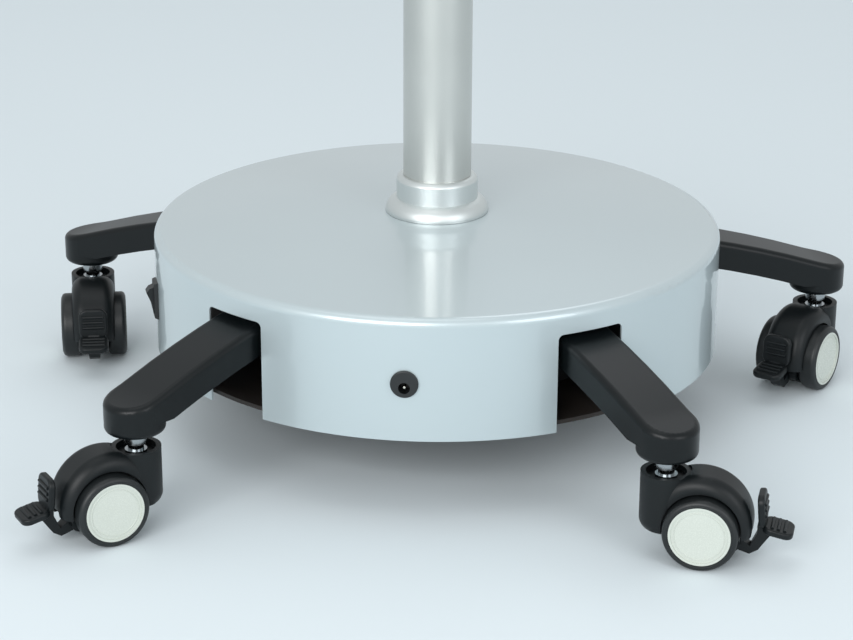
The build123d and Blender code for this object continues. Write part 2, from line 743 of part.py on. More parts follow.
with BuildPart() as castor_stem:
    with BuildSketch(Plane.XY.offset(stem_bottom)):
        Circle(stem_radius)
    extrude(amount=leg_stem_hole_top - stem_bottom - moving_gap)
    with BuildSketch(Plane.XY.offset(collar_floor + moving_gap)):
        Circle(stem_radius + stem_washer)
    extrude(amount=stem_washer)
    with BuildSketch(Plane.XY.offset(stem_sleeve_bottom)):
        Circle(stem_sleeve_radius)
    extrude(amount=leg_boss_bottom - fixed_gap - stem_sleeve_bottom)
    chamfer(castor_stem.edges().group_by(Axis.Z)[0], 0.8)

for number in range(leg_count):
    place = castor_place(number)
    label = number + 1
    keep(f"castor_housing_{label}", place * castor_housing.part)
    keep(f"castor_axle_{label}", place * castor_axle.part)
    keep(f"castor_pedal_{label}", place * castor_pedal.part)
    keep(f"castor_wheel_{label}_a", place * castor_wheel.part)
    keep(f"castor_wheel_{label}_b", place * mirror(castor_wheel.part, about=Plane.XZ))
    keep(f"castor_cap_{label}_a", place * castor_cap.part)
    keep(f"castor_cap_{label}_b", place * mirror(castor_cap.part, about=Plane.XZ))
keep("castor_stems", copies(castor_stem.part, [castor_place(number) for number in range(leg_count)]))

# ---------------------------------------------------------------- pole
with BuildPart() as pole:
    with BuildSketch(Plane.XY.offset(pole_foot)):
        Circle(pole_radius)
        Circle(pole_bore, mode=Mode.SUBTRACT)
    extrude(amount=pole_top - pole_foot)
keep("pole", pole.part)

# ---------------------------------------------------------------- pole_collar
collar_seat = dome_height(pole_radius)
with BuildPart() as pole_collar:
    with BuildSketch(Plane.XZ):
        with BuildLine():
            foot = Polyline(
                (pole_radius + fixed_gap, collar_seat),
                (collar_flange_radius, collar_seat),
                (collar_flange_radius, collar_seat + collar_flange_edge),
            )
            ovolo_top = (collar_neck_radius, collar_seat + collar_ovolo_height)
            ovolo = RadiusArc(foot @ 1, ovolo_top, -collar_ovolo_height)
            neck = Line(ovolo @ 1, (collar_neck_radius, collar_seat + collar_neck_height))
            lip = RadiusArc(neck @ 1, (collar_lip_radius, collar_seat + collar_height), -5.0)
            Polyline(lip @ 1, (pole_radius + fixed_gap, collar_seat + collar_height), foot @ 0)
        make_face()
    revolve(axis=Axis.Z)
keep("pole_collar", pole_collar.part)

# ---------------------------------------------------------------- height_clamp
clamp_front = Plane(origin=(0, 0, clamp_boss_height), x_dir=(1, 0, 0), z_dir=(0, -1, 0))
with BuildPart() as height_clamp:
    with BuildSketch(Plane.XY.offset(clamp_bottom)):
        Circle(clamp_radius)
    extrude(amount=clamp_height)
    fillet(height_clamp.edges().group_by(Axis.Z)[-1], clamp_edge)
    with BuildSketch(clamp_front):
        Circle(clamp_boss_radius)
    extrude(amount=clamp_boss_reach)
    with BuildSketch(Plane.XY.offset(clamp_bottom)):
        Circle(pole_radius + fixed_gap)
    extrude(amount=clamp_overlap + fixed_gap, mode=Mode.SUBTRACT)
    with BuildSketch(Plane.XY.offset(clamp_bottom)):
        Circle(inner_tube_radius + running_gap)
    extrude(amount=clamp_height, mode=Mode.SUBTRACT)
    with BuildSketch(clamp_front.offset(clamp_tongue_face)):
        Circle(knob_stem_radius + running_gap)
    extrude(amount=clamp_boss_reach - clamp_tongue_face, mode=Mode.SUBTRACT)
keep("height_clamp", height_clamp.part)

# ---------------------------------------------------------------- clamp_knob
knob_back = clamp_front.offset(clamp_boss_reach + knob_gap)
with BuildPart() as clamp_knob:
    with BuildSketch(knob_back):
        Circle(knob_radius - knob_lobe_radius / 2)
        with PolarLocations(knob_radius - knob_lobe_radius / 2, knob_lobes):
            Circle(knob_lobe_radius)
    extrude(amount=knob_thickness)
    fillet(clamp_knob.edges().group_by(Axis.Y)[0], 2.0)
    with BuildSketch(clamp_front.offset(clamp_tongue_face + moving_gap)):
        Circle(knob_stem_radius)
    extrude(amount=clamp_boss_reach + knob_gap - clamp_tongue_face)
keep("clamp_knob", clamp_knob.part)

# ---------------------------------------------------------------- upper_pole
with BuildPart() as upper_pole:
    with BuildSketch(Plane.XY.offset(inner_tube_bottom)):
        Circle(inner_tube_radius)
        Circle(inner_tube_radius - tube_wall, mode=Mode.SUBTRACT)
    extrude(amount=inner_tube_top - inner_tube_bottom)
    with BuildSketch(Plane.XY.offset(inner_tube_bottom)):
        Circle(pole_bore - running_gap)
        Circle(inner_tube_radius - tube_wall, mode=Mode.SUBTRACT)
    extrude(amount=guide_bush_height)
keep("upper_pole", upper_pole.part)

# ---------------------------------------------------------------- arm_knuckle
ear_gap = arm_width + 2 * arm_ear_gap
with BuildPart() as arm_knuckle:
    with BuildSketch(Plane.XY.offset(inner_tube_top - knuckle_grip)):
        Circle(knuckle_radius)
    extrude(amount=knuckle_grip + knuckle_cap)
    fillet(arm_knuckle.edges().group_by(Axis.Z)[-1], knuckle_edge)
    fillet(arm_knuckle.edges().group_by(Axis.Z)[0], knuckle_edge)
    with BuildSketch(Plane.XY.offset(inner_tube_top - knuckle_grip)):
        Circle(inner_tube_radius + running_gap)
    extrude(amount=knuckle_grip + moving_gap, mode=Mode.SUBTRACT)
    for side in (-1, 1):
        with BuildSketch(Plane.XZ.offset(side * ear_gap / 2)):
            with Locations((0, arm_axis_height)):
                Circle(ear_radius)
                Rectangle(2 * ear_radius, arm_axis_height - knuckle_top + 2, align=(Align.CENTER, Align.MAX))
        extrude(amount=side * ear_thickness)
    with BuildSketch(Plane.XZ):
        with Locations((0, arm_axis_height)):
            Circle(arm_pin_radius)
    extrude(amount=ear_gap / 2 + ear_thickness + 2.5, both=True)
keep("arm_knuckle", arm_knuckle.part)

# ---------------------------------------------------------------- arm
with BuildPart() as arm:
    with BuildSketch(Plane.YZ):
        with Locations((0, arm_axis_height)):
            RectangleRounded(arm_width, arm_depth, arm_edge)
    extrude(amount=arm_length)
    with BuildSketch(Plane.XZ):
        with Locations((0, arm_axis_height)):
            Circle(arm_depth / 2)
    extrude(amount=arm_width / 2, both=True)
    with BuildSketch(Plane.XY.offset(arm_axis_height - arm_end_height / 2)):
        with Locations((arm_length, 0)):
            Circle(arm_end_radius)
    extrude(amount=arm_end_height)
    fillet(arm.edges().group_by(Axis.Z)[-1] + arm.edges().group_by(Axis.Z)[0], 2.0)
    with BuildSketch(Plane.XZ):
        with Locations((0, arm_axis_height)):
            Circle(arm_pin_radius + running_gap)
    extrude(amount=arm_width, both=True, mode=Mode.SUBTRACT)
    with BuildSketch(Plane.XY.offset(arm_axis_height)):
        with Locations((arm_length, 0)):
            Circle(spindle_radius + running_gap)
    extrude(amount=arm_end_height, both=True, mode=Mode.SUBTRACT)
keep("arm", arm.part)

# ---------------------------------------------------------------- head_yoke
head_plane = Plane(origin=(arm_length, 0, head_axis_height), x_dir=(0, 1, 0), z_dir=(1, 0, 0))
yoke_outer_radius = yoke_inner_radius + yoke_section[0]
arm_under = arm_axis_height - arm_end_height / 2
with BuildPart() as head_yoke:
    with BuildSketch(head_plane):
        Circle(yoke_outer_radius)
        Circle(yoke_inner_radius, mode=Mode.SUBTRACT)
        Rectangle(4 * yoke_outer_radius, 2 * yoke_outer_radius, align=(Align.CENTER, Align.MAX),
                  mode=Mode.SUBTRACT)
        with Locations((-yoke_inner_radius - yoke_section[0] / 2, 0), (yoke_inner_radius + yoke_section[0] / 2, 0)):
            Rectangle(yoke_section[0], 2 * tilt_boss_radius, align=(Align.CENTER, Align.CENTER))
    extrude(amount=yoke_section[1] / 2, both=True)
    fillet(head_yoke.edges().filter_by(GeomType.CIRCLE), yoke_edge)
    for side in (-1, 1):
        with BuildSketch(Plane.XZ.offset(side * yoke_inner_radius)):
            with Locations((arm_length, head_axis_height)):
                Circle(tilt_boss_radius)
        extrude(amount=side * (yoke_section[0] + 3))
        with BuildSketch(Plane.XZ.offset(side * tilt_pin_inner)):
            with Locations((arm_length, head_axis_height)):
                Circle(tilt_pin_radius)
        extrude(amount=side * (yoke_inner_radius + yoke_section[0] / 2 - tilt_pin_inner))
    with BuildSketch(Plane.XY.offset(head_axis_height + yoke_inner_radius + yoke_section[0] / 2)):
        with Locations((arm_length, 0)):
            Circle(yoke_neck_radius)
    extrude(amount=arm_under - moving_gap - head_axis_height - yoke_inner_radius - yoke_section[0] / 2)
    with BuildSketch(Plane.XY.offset(arm_under - moving_gap)):
        with Locations((arm_length, 0)):
            Circle(spindle_radius)
    extrude(amount=arm_end_height + 2 * moving_gap)
    with BuildSketch(Plane.XY.offset(arm_under + arm_end_height + moving_gap)):
        with Locations((arm_length, 0)):
            Circle(spindle_cap_radius)
    extrude(amount=spindle_cap)
    fillet(head_yoke.edges().group_by(Axis.Z)[-1], 2.5)
keep("head_yoke", head_yoke.part)

# ---------------------------------------------------------------- head_shell
head_section = Plane(origin=(arm_length, 0, head_axis_height), x_dir=(1, 0, 0), z_dir=(0, -1, 0))
head_axis = Axis((arm_length, 0, head_axis_height), (0, 0, 1))
band_bottom = head_band_top - head_band
lens_face = band_bottom + lens_recess
board_face = lens_face + lens_thickness + led_board_depth


def head_disc(radius, bottom, height):
    """A disc about the head's own axis, from a height above its tilt axis."""
    with BuildPart() as disc:
        with BuildSketch(Plane.XY.offset(head_axis_height + bottom)):
            with Locations((arm_length, 0)):
                Circle(radius)
        extrude(amount=height)
    return disc.part


def head_outline(inset):
    """Half-section of the domed head, shrunk by `inset`, open at its underside."""
    with BuildSketch(head_section) as section:
        with BuildLine():
            back = Line((0, band_bottom), (0, head_band_top + head_dome - inset))
            dome = ThreePointArc(
                back @ 1,
                (head_shoulder[0] * head_radius, head_band_top + head_shoulder[1] * head_dome - inset),
                (head_radius - inset, head_band_top - inset / 2),
            )
            Polyline(dome @ 1, (head_radius - inset, band_bottom), back @ 0)
        make_face()
        corner = section.vertices().sort_by(Axis.X)[-2:].sort_by(Axis.Z)[-1]
        fillet(corner, head_dome_edge - inset)
    return section.sketch


board_back = board_face + led_board_thickness
handle_height = head_axis_height + band_bottom + head_band / 2
handle_root = sqrt(head_radius**2 - handle_half_width**2) - head_wall / 2
handle_plane = Plane(origin=(arm_length, 0, handle_height))
with BuildPart() as head_handle:
    with BuildLine(handle_plane) as grip_path:
        FilletPolyline(
            (handle_root, -handle_half_width),
            (handle_reach, -handle_half_width),
            (handle_reach, handle_half_width),
            (handle_root, handle_half_width),
            radius=handle_bend,
        )
    with BuildSketch(Plane(origin=grip_path.line @ 0, z_dir=grip_path.line % 0)):
        Circle(handle_radius)
    sweep(path=grip_path.line)

with BuildPart() as head_shell:
    add(head_outline(0.0))
    revolve(axis=head_axis)
    for side in (-1, 1):
        with BuildSketch(Plane.XZ.offset(side * (head_radius - head_ear_radius))):
            with Locations((arm_length, head_axis_height)):
                Circle(head_ear_radius)
        extrude(amount=side * (head_ear_reach - head_radius + head_ear_radius))
    add(head_outline(head_wall))
    revolve(axis=head_axis, mode=Mode.SUBTRACT)
    add(head_disc(head_radius - head_wall / 2, lens_face + lens_thickness + fixed_gap, lens_ledge_height))
    add(head_disc(head_radius - head_wall - lens_ledge, band_bottom, head_band), mode=Mode.SUBTRACT)
    with BuildSketch(Plane.XY.offset(head_axis_height + board_back + fixed_gap)):
        with Locations((arm_length, 0)):
            with PolarLocations(led_boss_circle, led_boss_count):
                Circle(led_boss_radius)
    extrude(amount=head_band_top + head_shoulder[1] * head_dome - head_wall / 2 - board_back)
    add(head_handle.part)
    with BuildSketch(Plane.XZ):
        with Locations((arm_length, head_axis_height)):
            Circle(tilt_pin_radius + running_gap)
    extrude(amount=2 * head_radius, both=True, mode=Mode.SUBTRACT)
keep("head_shell", head_shell.part)

# ---------------------------------------------------------------- head_lens, led_board
with BuildPart() as head_lens:
    add(head_disc(head_radius - head_wall - fixed_gap, lens_face, lens_thickness))
    fillet(head_lens.edges().group_by(Axis.Z)[0], 1.0)
keep("head_lens", head_lens.part)

with BuildPart() as led_board:
    add(head_disc(led_board_radius, board_face, led_board_thickness))
keep("led_board", led_board.part)
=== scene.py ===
"""Looks of the mobile examination lamp: studio, finishes and the finely meshed visible pieces.

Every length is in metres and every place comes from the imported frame.
"""

import json
import logging
from dataclasses import dataclass, field
from enum import Enum
from math import atan2, cos, radians, sin, sqrt, tau

import bmesh
import bpy
from mathutils import Euler, Matrix, Vector

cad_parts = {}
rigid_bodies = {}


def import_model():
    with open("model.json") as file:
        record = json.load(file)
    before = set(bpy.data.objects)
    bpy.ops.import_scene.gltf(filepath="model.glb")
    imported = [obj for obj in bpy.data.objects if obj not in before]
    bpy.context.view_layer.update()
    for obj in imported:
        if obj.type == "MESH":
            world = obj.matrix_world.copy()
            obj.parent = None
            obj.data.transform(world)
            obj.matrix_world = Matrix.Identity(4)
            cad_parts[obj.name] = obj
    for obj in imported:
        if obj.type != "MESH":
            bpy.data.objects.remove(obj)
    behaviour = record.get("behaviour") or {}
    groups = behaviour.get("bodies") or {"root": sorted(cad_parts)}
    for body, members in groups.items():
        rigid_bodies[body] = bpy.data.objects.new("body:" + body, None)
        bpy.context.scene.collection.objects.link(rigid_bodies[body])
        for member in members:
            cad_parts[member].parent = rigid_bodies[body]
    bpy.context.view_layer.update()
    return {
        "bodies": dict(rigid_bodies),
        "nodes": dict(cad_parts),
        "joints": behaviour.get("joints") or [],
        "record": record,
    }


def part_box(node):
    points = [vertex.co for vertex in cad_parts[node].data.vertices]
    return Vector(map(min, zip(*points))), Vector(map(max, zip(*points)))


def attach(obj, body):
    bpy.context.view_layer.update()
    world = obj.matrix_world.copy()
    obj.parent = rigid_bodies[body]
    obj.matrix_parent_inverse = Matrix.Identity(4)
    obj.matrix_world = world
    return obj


log = logging.getLogger("examination_lamp")
Point = tuple[float, ...]
MM = 0.001


# ---------------------------------------------------------------------------- node helpers
def linear(hex_colour: str) -> tuple[float, float, float, float]:
    """Turn an sRGB hex colour into Blender's linear RGBA.

    Args:
        hex_colour: six hex digits, with or without a leading hash.

    Returns:
        The linear red, green, blue and an alpha of one.
    """
    digits = hex_colour.lstrip("#")
    channels = [int(digits[i:i + 2], 16) / 255 for i in (0, 2, 4)]
    curve = [c / 12.92 if c <= 0.04045 else ((c + 0.055) / 1.055) ** 2.4 for c in channels]
    return (*curve, 1.0)


def add_node(tree: bpy.types.NodeTree, kind: str, settings: dict | None = None,
             links: dict | None = None) -> bpy.types.Node:
    """Add a node with its settings and its incoming links.

    Args:
        tree: the node tree that takes the node.
        kind: the node's Blender type name.
        settings: attributes by name, or input values by socket name or number.
        links: output sockets by the name or number of the input they feed.

    Returns:
        The new node.
    """
    node = tree.nodes.new(kind)
    for key, value in (settings or {}).items():
        if isinstance(key, str) and hasattr(node, key):
            setattr(node, key, value)
        else:
            node.inputs[key].default_value = value
    for key, socket in (links or {}).items():
        tree.links.new(socket, node.inputs[key])
    return node


def new_material(name: str) -> tuple[bpy.types.Material, bpy.types.NodeTree, bpy.types.Node]:
    """Make an empty node material with a Principled shader on its output.

    Args:
        name: the material's name, after the real material.

    Returns:
        The material, its tree and the shader node.
    """
    material = bpy.data.materials.new(name)
    material.use_nodes = True
    tree = material.node_tree
    tree.nodes.clear()
    shader = add_node(tree, "ShaderNodeBsdfPrincipled")
    add_node(tree, "ShaderNodeOutputMaterial", links={"Surface": shader.outputs[0]})
    return material, tree, shader


# ---------------------------------------------------------------------------- finishes
@dataclass(frozen=True)
class Finish:
    """A solid finish with fine grain in its roughness, colour and surface height.

    Attributes:
        name: common name of the material and how its surface was made.
        colour: main sRGB colour.
        shade: second sRGB colour that the first drifts towards in soft patches.
        roughness: lowest and highest roughness over the surface.
        metallic: one for bare metal, zero for paint and plastic.
        ior: refractive index; a metal keeps the default.
        grain: size of the surface texture in metres.
        relief: height of the texture in metres.
        patch: size of the colour patches in metres.
        stretch: how much longer the grain is along each axis, for brushed faces.
        coat: weight of a clear coat.
        coat_roughness: roughness of the clear coat.
        transmission: share of light that passes through.
        glow: emission strength in the main colour.
        specular: reflection level, where 0.5 is that of the plain material.
    """

    name: str
    colour: str
    shade: str
    roughness: tuple[float, float] = (0.4, 0.5)
    metallic: float = 0.0
    ior: float = 1.5
    grain: float = 0.4 * MM
    relief: float = 0.01 * MM
    patch: float = 40 * MM
    stretch: Point = (1.0, 1.0, 1.0)
    coat: float = 0.0
    coat_roughness: float = 0.03
    transmission: float = 0.0
    glow: float = 0.0
    specular: float = 0.5

    def build(self) -> bpy.types.Material:
        """Make the Blender material.

        Returns:
            The node material.
        """
        material, tree, shader = new_material(self.name)
        place = add_node(tree, "ShaderNodeTexCoord").outputs["Object"]
        stretched = add_node(tree, "ShaderNodeMapping", {"Scale": [1 / s for s in self.stretch]},
                             {"Vector": place}).outputs[0]
        grain = add_node(tree, "ShaderNodeTexNoise", {"Scale": 1 / self.grain, "Detail": 3.0},
                         {"Vector": stretched}).outputs["Fac"]
        patches = add_node(tree, "ShaderNodeTexNoise", {"Scale": 1 / self.patch, "Detail": 2.0},
                           {"Vector": place}).outputs["Fac"]
        drift = add_node(tree, "ShaderNodeMix", {"data_type": "RGBA"}, {"Factor": patches})
        drift.inputs[6].default_value = linear(self.colour)
        drift.inputs[7].default_value = linear(self.shade)
        gloss = add_node(tree, "ShaderNodeMapRange",
                         {"To Min": self.roughness[0], "To Max": self.roughness[1]}, {"Value": grain})
        bump = add_node(tree, "ShaderNodeBump", {"Strength": 1.0, "Distance": self.relief}, {"Height": grain})
        tree.links.new(drift.outputs[2], shader.inputs["Base Color"])
        tree.links.new(gloss.outputs[0], shader.inputs["Roughness"])
        if self.relief:
            tree.links.new(bump.outputs[0], shader.inputs["Normal"])
        shader.inputs["Metallic"].default_value = self.metallic
        shader.inputs["IOR"].default_value = self.ior
        shader.inputs["Specular IOR Level"].default_value = self.specular
        shader.inputs["Coat Weight"].default_value = self.coat
        shader.inputs["Coat Roughness"].default_value = self.coat_roughness
        shader.inputs["Transmission Weight"].default_value = self.transmission
        if self.glow:
            shader.inputs["Emission Color"].default_value = linear(self.colour)
            shader.inputs["Emission Strength"].default_value = self.glow
        return material


# fine aluminium flake under a clear coat: pale silver with a soft sheen and a sharp gloss on the edge
COVER_PAINT = Finish("silver_metallic_paint", "BFCBCE", "B8C5C9", (0.30, 0.40), 0.36, 1.5, 0.5 * MM,
                     0.004 * MM, 160 * MM, coat=0.8, coat_roughness=0.06)
# satin black with a very fine orange peel
LEG_COAT = Finish("black_powder_coat", "0D1214", "0A0F11", (0.30, 0.38), 0.0, 1.5, 0.6 * MM, 0.012 * MM,
                  specular=0.28)
# fine lengthways brush lines that spread highlights round the tube
STAINLESS = Finish("brushed_stainless_steel", "D6D7D3", "C6C7C3", (0.26, 0.42), 1.0, 1.45, 0.5 * MM,
                   0.006 * MM, 60 * MM, stretch=(1.0, 1.0, 60.0))
# bead blasted and anodised, so it glows evenly
SATIN_ALUMINIUM = Finish("satin_anodised_aluminium", "DDE2E1", "D6DCDC", (0.42, 0.5), 1.0, 1.45, 0.3 * MM,
                         0.003 * MM)
# mirror bright plating
CHROME = Finish("chromed_steel", "A9AEB1", "A0A5A8", (0.14, 0.22), 1.0, 1.45, 1.0 * MM, 0.0)
# matt, faintly textured moulding
NYLON = Finish("moulded_black_nylon", "101517", "0C1113", (0.36, 0.48), 0.0, 1.53, 0.45 * MM, 0.015 * MM,
               specular=0.28)
# soft tyre, a little duller than the housing
TREAD = Finish("black_polyurethane_tread", "101415", "161B1D", (0.38, 0.5), 0.0, 1.5, 0.8 * MM, 0.01 * MM)
# warm white moulding with a faint mottle
CAP_ABS = Finish("white_moulded_abs", "CBD0C8", "C1C7BE", (0.22, 0.32), 0.0, 1.54, 0.7 * MM, 0.008 * MM)
# smooth black moulding
SOCKET_ABS = Finish("black_moulded_abs", "121618", "171B1D", (0.38, 0.48), 0.0, 1.54, 0.4 * MM, 0.01 * MM)
# bright, slightly yellow plating
NICKEL = Finish("nickel_plated_brass", "D8D6CC", "CFCDC4", (0.12, 0.2), 1.0, 1.45, 0.4 * MM, 0.0)
# cool grey plating with small spangles
ZINC = Finish("zinc_plated_steel", "A9ADAF", "9DA3A7", (0.28, 0.42), 1.0, 1.45, 0.8 * MM, 0.008 * MM, 6 * MM)
# rough sand-cast skin
IRON = Finish("grey_cast_iron", "35383A", "2B2E30", (0.6, 0.8), 0.4, 1.5, 1.2 * MM, 0.08 * MM)
# dull grey-black case
BATTERY_ABS = Finish("charcoal_moulded_abs", "2E3238", "2A2E33", (0.45, 0.55), 0.0, 1.54)
# glossy lacquer on glass fibre
SOLDER_MASK = Finish("green_solder_mask", "1C5C38", "174E30", (0.2, 0.3), 0.0, 1.5, coat=0.5)
# satin white with a fine orange peel
ARM_COAT = Finish("white_powder_coat", "E3E9EA", "DCE3E5", (0.3, 0.42), 0.0, 1.5, 0.6 * MM, 0.01 * MM)
# polished moulding, clean and bright
HEAD_ABS = Finish("white_gloss_abs", "E9EEEE", "E3E9EA", (0.16, 0.24), 0.0, 1.54, 0.9 * MM, 0.004 * MM,
                  coat=0.3)
# clear moulding, nearly mirror smooth
LENS = Finish("clear_polycarbonate", "F4F8F8", "F0F5F5", (0.04, 0.08), 0.0, 1.585, 0.6 * MM, 0.0,
              transmission=1.0)
# matt white lacquer that throws the light forwards
WHITE_MASK = Finish("white_solder_mask", "EEF0EC", "E6E9E4", (0.35, 0.45), 0.0, 1.5)
# brown-black primer that shows in the windows of the skirt
PLATE_COAT = Finish("dark_steel_primer", "2C2622", "241F1C", (0.5, 0.62), 0.0, 1.5, 0.8 * MM, 0.02 * MM)
# vacuum-metallised cups round the light sources
REFLECTOR = Finish("metallised_polycarbonate", "E6E8E8", "DDE0E0", (0.08, 0.16), 1.0, 1.45, 0.5 * MM, 0.0)
# yellow phosphor over a blue die, lit low
PHOSPHOR = Finish("yellow_phosphor_silicone", "F3E39A", "EFDD8C", (0.3, 0.4), 0.0, 1.41, 0.3 * MM, 0.0,
                  glow=0.6)
# soft dull rubber
SILICONE = Finish("grey_silicone_rubber", "5C6366", "555C5F", (0.55, 0.7), 0.0, 1.43, 0.5 * MM, 0.01 * MM)

SLOT_FINISHES = {
    "painted_cover": COVER_PAINT,
    "powder_black": LEG_COAT,
    "cast_weight": IRON,
    "steel_zinc": ZINC,
    "stainless": STAINLESS,
    "satin_aluminium": SATIN_ALUMINIUM,
    "chrome_stem": CHROME,
    "castor_nylon": NYLON,
    "castor_tread": TREAD,
    "cap_white": CAP_ABS,
    "socket_black": SOCKET_ABS,
    "pin_nickel": NICKEL,
    "battery_case": BATTERY_ABS,
    "board_green": SOLDER_MASK,
    "arm_white": ARM_COAT,
    "head_white": HEAD_ABS,
    "lens_clear": LENS,
    "led_board_white": WHITE_MASK,
}

# nodes whose own finish differs from the rest of their slot
NODE_FINISHES = {"base_plate": PLATE_COAT}


# ---------------------------------------------------------------------------- studio
@dataclass
class Studio:
    """The pale floor, the soft lights and the camera.

    Attributes:
        camera_height: lens height above the floor.
        camera_distance: lens distance in front of the column.
        pitch: downward tilt of the lens in degrees.
        turn: heading of the lens to the left in degrees.
        roll: lean of the lens in degrees.
        lens: focal length in millimetres.
        sensor_width: width of the sensor in millimetres.
        view_reach: furthest distance that the camera sees.
        floor_size: width of the square floor.
        floor_colour: sRGB colour of the floor.
        floor_roughness: how dull the floor is.
        floor_gloss: strength of the floor's faint shine.
        room_colour: sRGB colour of the light from all round.
        room_light: strength of the light from all round.
    """

    camera_height: float = 0.7195
    camera_distance: float = 1.738
    pitch: float = 20.62
    turn: float = 0.246
    roll: float = 0.223
    lens: float = 104.09
    sensor_width: float = 36.0
    view_reach: float = 200.0
    floor_size: float = 60.0
    floor_colour: str = "DAE3E7"
    floor_roughness: float = 0.9
    floor_gloss: float = 0.1
    room_colour: str = "F3F7F9"
    room_light: float = 0.74

    def build_camera(self) -> None:
        """Place the camera and make it the scene's own."""
        camera = bpy.data.objects.new("camera", bpy.data.cameras.new("camera"))
        camera.data.sensor_width = self.sensor_width
        camera.data.lens = self.lens
        camera.data.clip_end = self.view_reach
        aim = Euler((radians(90 - self.pitch), 0, radians(self.turn)), "XYZ").to_matrix()
        lean = Matrix.Rotation(radians(self.roll), 3, "Z")
        place = (aim @ lean).to_4x4()
        place.translation = (0.0, -self.camera_distance, self.camera_height)
        camera.matrix_world = place
        bpy.context.scene.collection.objects.link(camera)
        bpy.context.scene.camera = camera

    def build_floor(self) -> None:
        """Lay the pale floor."""
        half = self.floor_size / 2
        mesh = bpy.data.meshes.new("floor")
        corners = [(-half, -half, 0), (half, -half, 0), (half, half, 0), (-half, half, 0)]
        mesh.from_pydata(corners, [], [(0, 1, 2, 3)])
        floor = bpy.data.objects.new("floor", mesh)
        bpy.context.scene.collection.objects.link(floor)
        material, tree, shader = new_material("pale_backdrop_cloth")
        shader.inputs["Base Color"].default_value = linear(self.floor_colour)
        shader.inputs["Roughness"].default_value = self.floor_roughness
        shader.inputs["Specular IOR Level"].default_value = self.floor_gloss
        mesh.materials.append(material)

    def build_light(self, name: str, place: Point, aim: Point, size: tuple[float, float], power: float,
                    colour: str) -> None:
        """Hang one soft rectangular light.

        Args:
            name: the light's name.
            place: its centre.
            aim: the point that it faces.
            size: its width and height.
            power: its power in watts.
            colour: its sRGB colour.
        """
        light = bpy.data.lights.new(name, "AREA")
        light.shape = "RECTANGLE"
        light.size, light.size_y = size
        light.energy = power
        light.color = linear(colour)[:3]
        holder = bpy.data.objects.new(name, light)
        holder.location = place
        holder.rotation_euler = (Vector(aim) - Vector(place)).to_track_quat("-Z", "Y").to_euler()
        bpy.context.scene.collection.objects.link(holder)

    def build_world(self) -> None:
        """Fill the room with even, soft light."""
        world = bpy.data.worlds.new("room")
        world.use_nodes = True
        back = world.node_tree.nodes["Background"]
        back.inputs["Color"].default_value = linear(self.room_colour)
        back.inputs["Strength"].default_value = self.room_light
        bpy.context.scene.world = world

    def build(self) -> None:
        """Set up the whole studio."""
        self.build_world()
        self.build_camera()
        self.build_floor()
        self.build_light("key", (-1.2, -2.8, 1.5), (0, 0, 0.15), (2.2, 1.4), 60.0, "FFFFFF")
        self.build_light("fill", (1.9, -2.2, 1.3), (0, 0, 0.2), (1.4, 1.6), 20.0, "FAFCFF")
        self.build_light("overhead", (-0.4, -0.2, 3.4), (0, 0, 0.1), (1.8, 1.8), 9.0, "FFFFFF")
        self.build_light("back", (0.6, 2.6, 3.6), (0, 0, 0.4), (1.6, 1.6), 12.0, "FAFCFF")
        bpy.context.scene.view_settings.view_transform = "Standard"
        log.info("studio ready")


def dress_nodes(frame: dict) -> None:
    """Give every carried-over node its own finish where it has one, or that of its slot.
    """
    materials = {slot: material_of(finish) for slot, finish in SLOT_FINISHES.items()}
    for entry in frame["record"]["subparts"]:
        node = frame["nodes"][entry["node"]]
        node.data.materials.clear()
        node.data.materials.append(material_of(NODE_FINISHES[entry["node"]]) if entry["node"] in NODE_FINISHES
                                   else materials[entry["material_slot"]])
        log.info("dressed %s as %s", entry["node"], entry["material_slot"])


# ---------------------------------------------------------------------------- meshes
class Layout(Enum):
    """How a small template is repeated."""

    RING = "ring"
    ROW = "row"


def finish_mesh(mesh: bpy.types.Mesh, crease: float = 38.0) -> bpy.types.Mesh:
    """Weld a mesh, point its faces outwards and smooth it between its creases.

    Args:
        mesh: a closed mesh.
        crease: angle in degrees past which an edge stays sharp.

    Returns:
        The same mesh.
    """
    shape = bmesh.new()
    shape.from_mesh(mesh)
    bmesh.ops.remove_doubles(shape, verts=shape.verts, dist=0.001 * MM)
    bmesh.ops.recalc_face_normals(shape, faces=shape.faces)
    shape.to_mesh(mesh)
    shape.free()
    mesh.shade_smooth()
    mesh.set_sharp_from_angle(angle=radians(crease))
    return mesh


def turned(name: str, outline: list[Point], steps: int = 64) -> bpy.types.Mesh:
    """Turn an outline round the Z axis, as on a lathe.

    Args:
        name: the mesh's name.
        outline: radius and height of each point, closed by the axis or by its own first point.
        steps: number of facets round the axis.

    Returns:
        The closed mesh.
    """
    closed = outline[0][0] > 0
    points = outline + outline[:1] if closed else outline
    verts = [(r * cos(tau * s / steps), r * sin(tau * s / steps), z) for s in range(steps) for r, z in points]
    span = len(points)
    faces = [(s * span + i, (s + 1) % steps * span + i, (s + 1) % steps * span + i + 1, s * span + i + 1)
             for s in range(steps) for i in range(span - 1)]
    mesh = bpy.data.meshes.new(name)
    mesh.from_pydata(verts, [], faces)
    return finish_mesh(mesh)


def ring_outline(radius: float, thickness: float, height: float = 0.0, sides: int = 10) -> list[Point]:
    """Outline of a round wire bent to a ring.

    Args:
        radius: middle radius of the ring.
        thickness: radius of the wire.
        height: height of the wire's middle.
        sides: number of points round the wire.

    Returns:
        Radius and height of each point.
    """
    return [(radius + thickness * cos(tau * s / sides), height + thickness * sin(tau * s / sides))
            for s in range(sides)]


